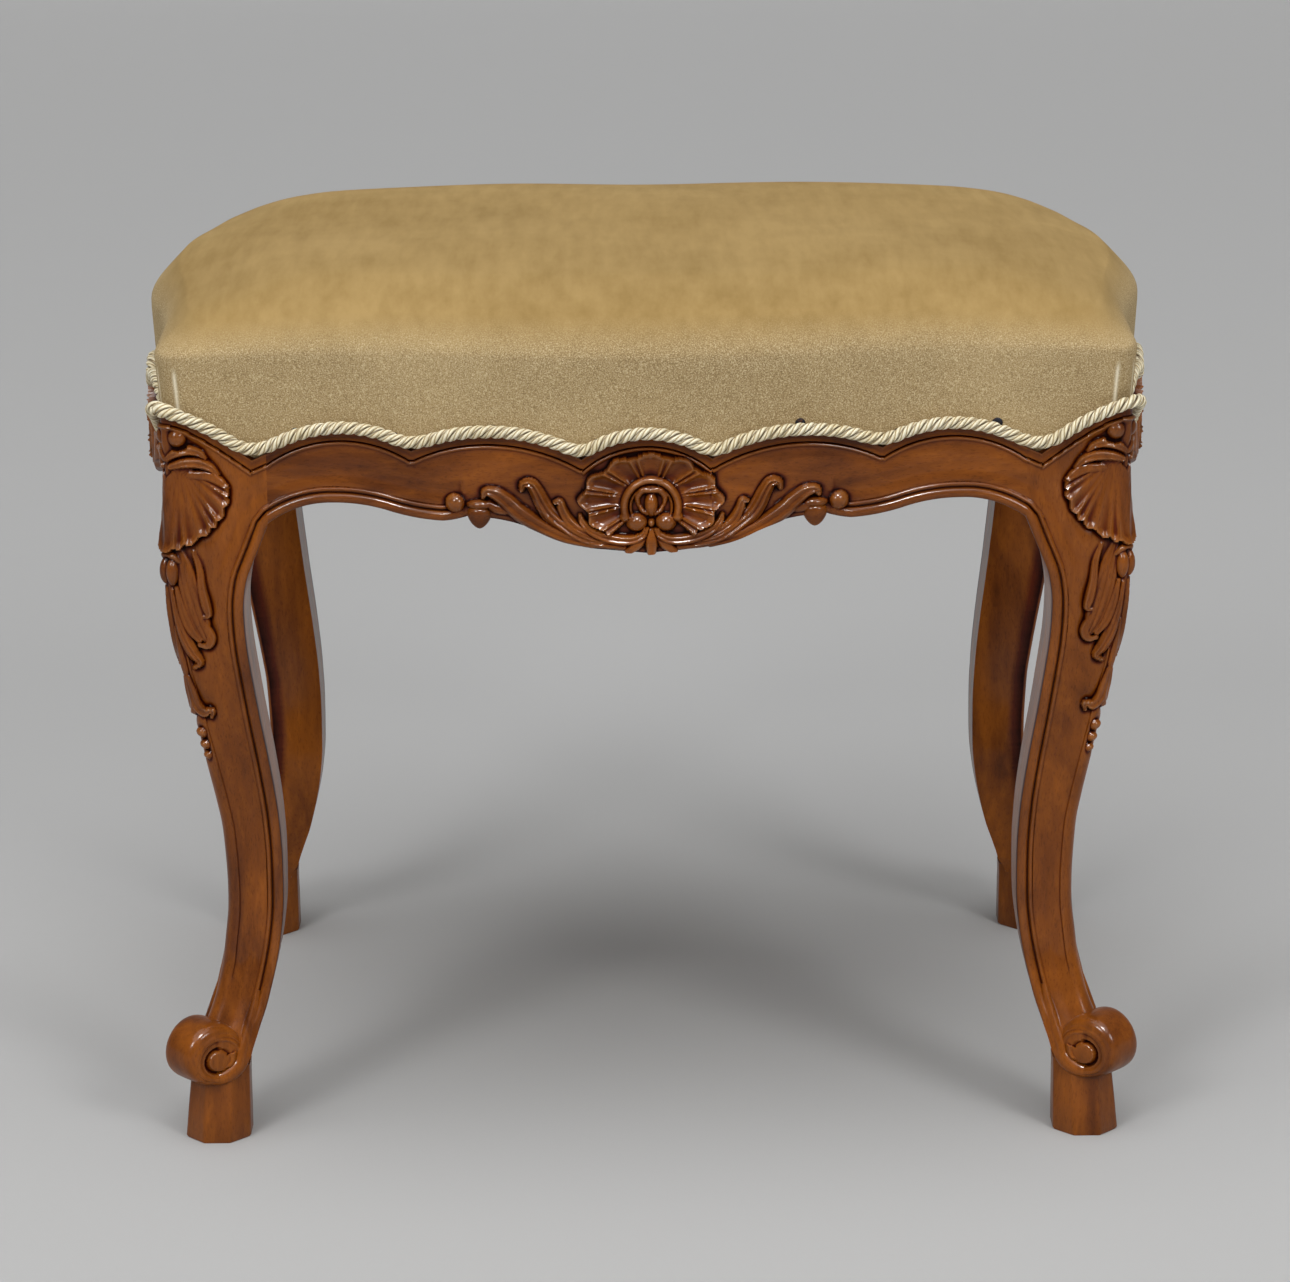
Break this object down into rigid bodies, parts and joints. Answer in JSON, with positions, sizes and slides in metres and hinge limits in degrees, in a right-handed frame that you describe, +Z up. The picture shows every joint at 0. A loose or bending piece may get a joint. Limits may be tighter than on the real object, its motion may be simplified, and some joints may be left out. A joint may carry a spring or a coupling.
{
  "type": "stool",
  "caption": "Low upholstered stool with carved cabriole legs, scalloped serpentine rails, a crowned velvet seat and a corded edge.",
  "frame": {"origin": "on the floor, under the middle of the seat", "axes": "+Z up, +Y to the back, +X to the right as seen in the picture"},
  "size_m": [0.5476, 0.4136, 0.467],
  "materials": {
    "walnut": "stained and polished hardwood, semi-gloss, dark glaze in the carving",
    "block_wood": "sawn softwood, unfinished",
    "tack_steel": "blued cut tacks, dark",
    "webbing": "woven jute webbing",
    "hessian": "coarse plain-woven jute cloth",
    "stuffing": "hair and cotton wadding under calico",
    "velvet": "short cut pile, olive gold with grey in the shade",
    "cord": "twisted cotton cord, cream"
  },
  "bodies": {
    "root": {"back_left_corner_block": "block_wood", "back_left_leg": "walnut", "back_rail": "walnut", "back_right_corner_block": "block_wood", "back_right_leg": "walnut", "cover_tacks": "tack_steel", "cross_webbing_0": "webbing", "cross_webbing_1": "webbing", "cross_webbing_2": "webbing", "cross_webbing_3": "webbing", "front_left_corner_block": "block_wood", "front_left_leg": "walnut", "front_rail": "walnut", "front_right_corner_block": "block_wood", "front_right_leg": "walnut", "hessian_sheet": "hessian", "left_rail": "walnut", "long_webbing_0": "webbing", "long_webbing_1": "webbing", "long_webbing_2": "webbing", "right_rail": "walnut", "stuffing_pad": "stuffing", "trim_cord": "cord", "velvet_cover": "velvet", "webbing_tacks": "tack_steel"}
  },
  "joints": []
}
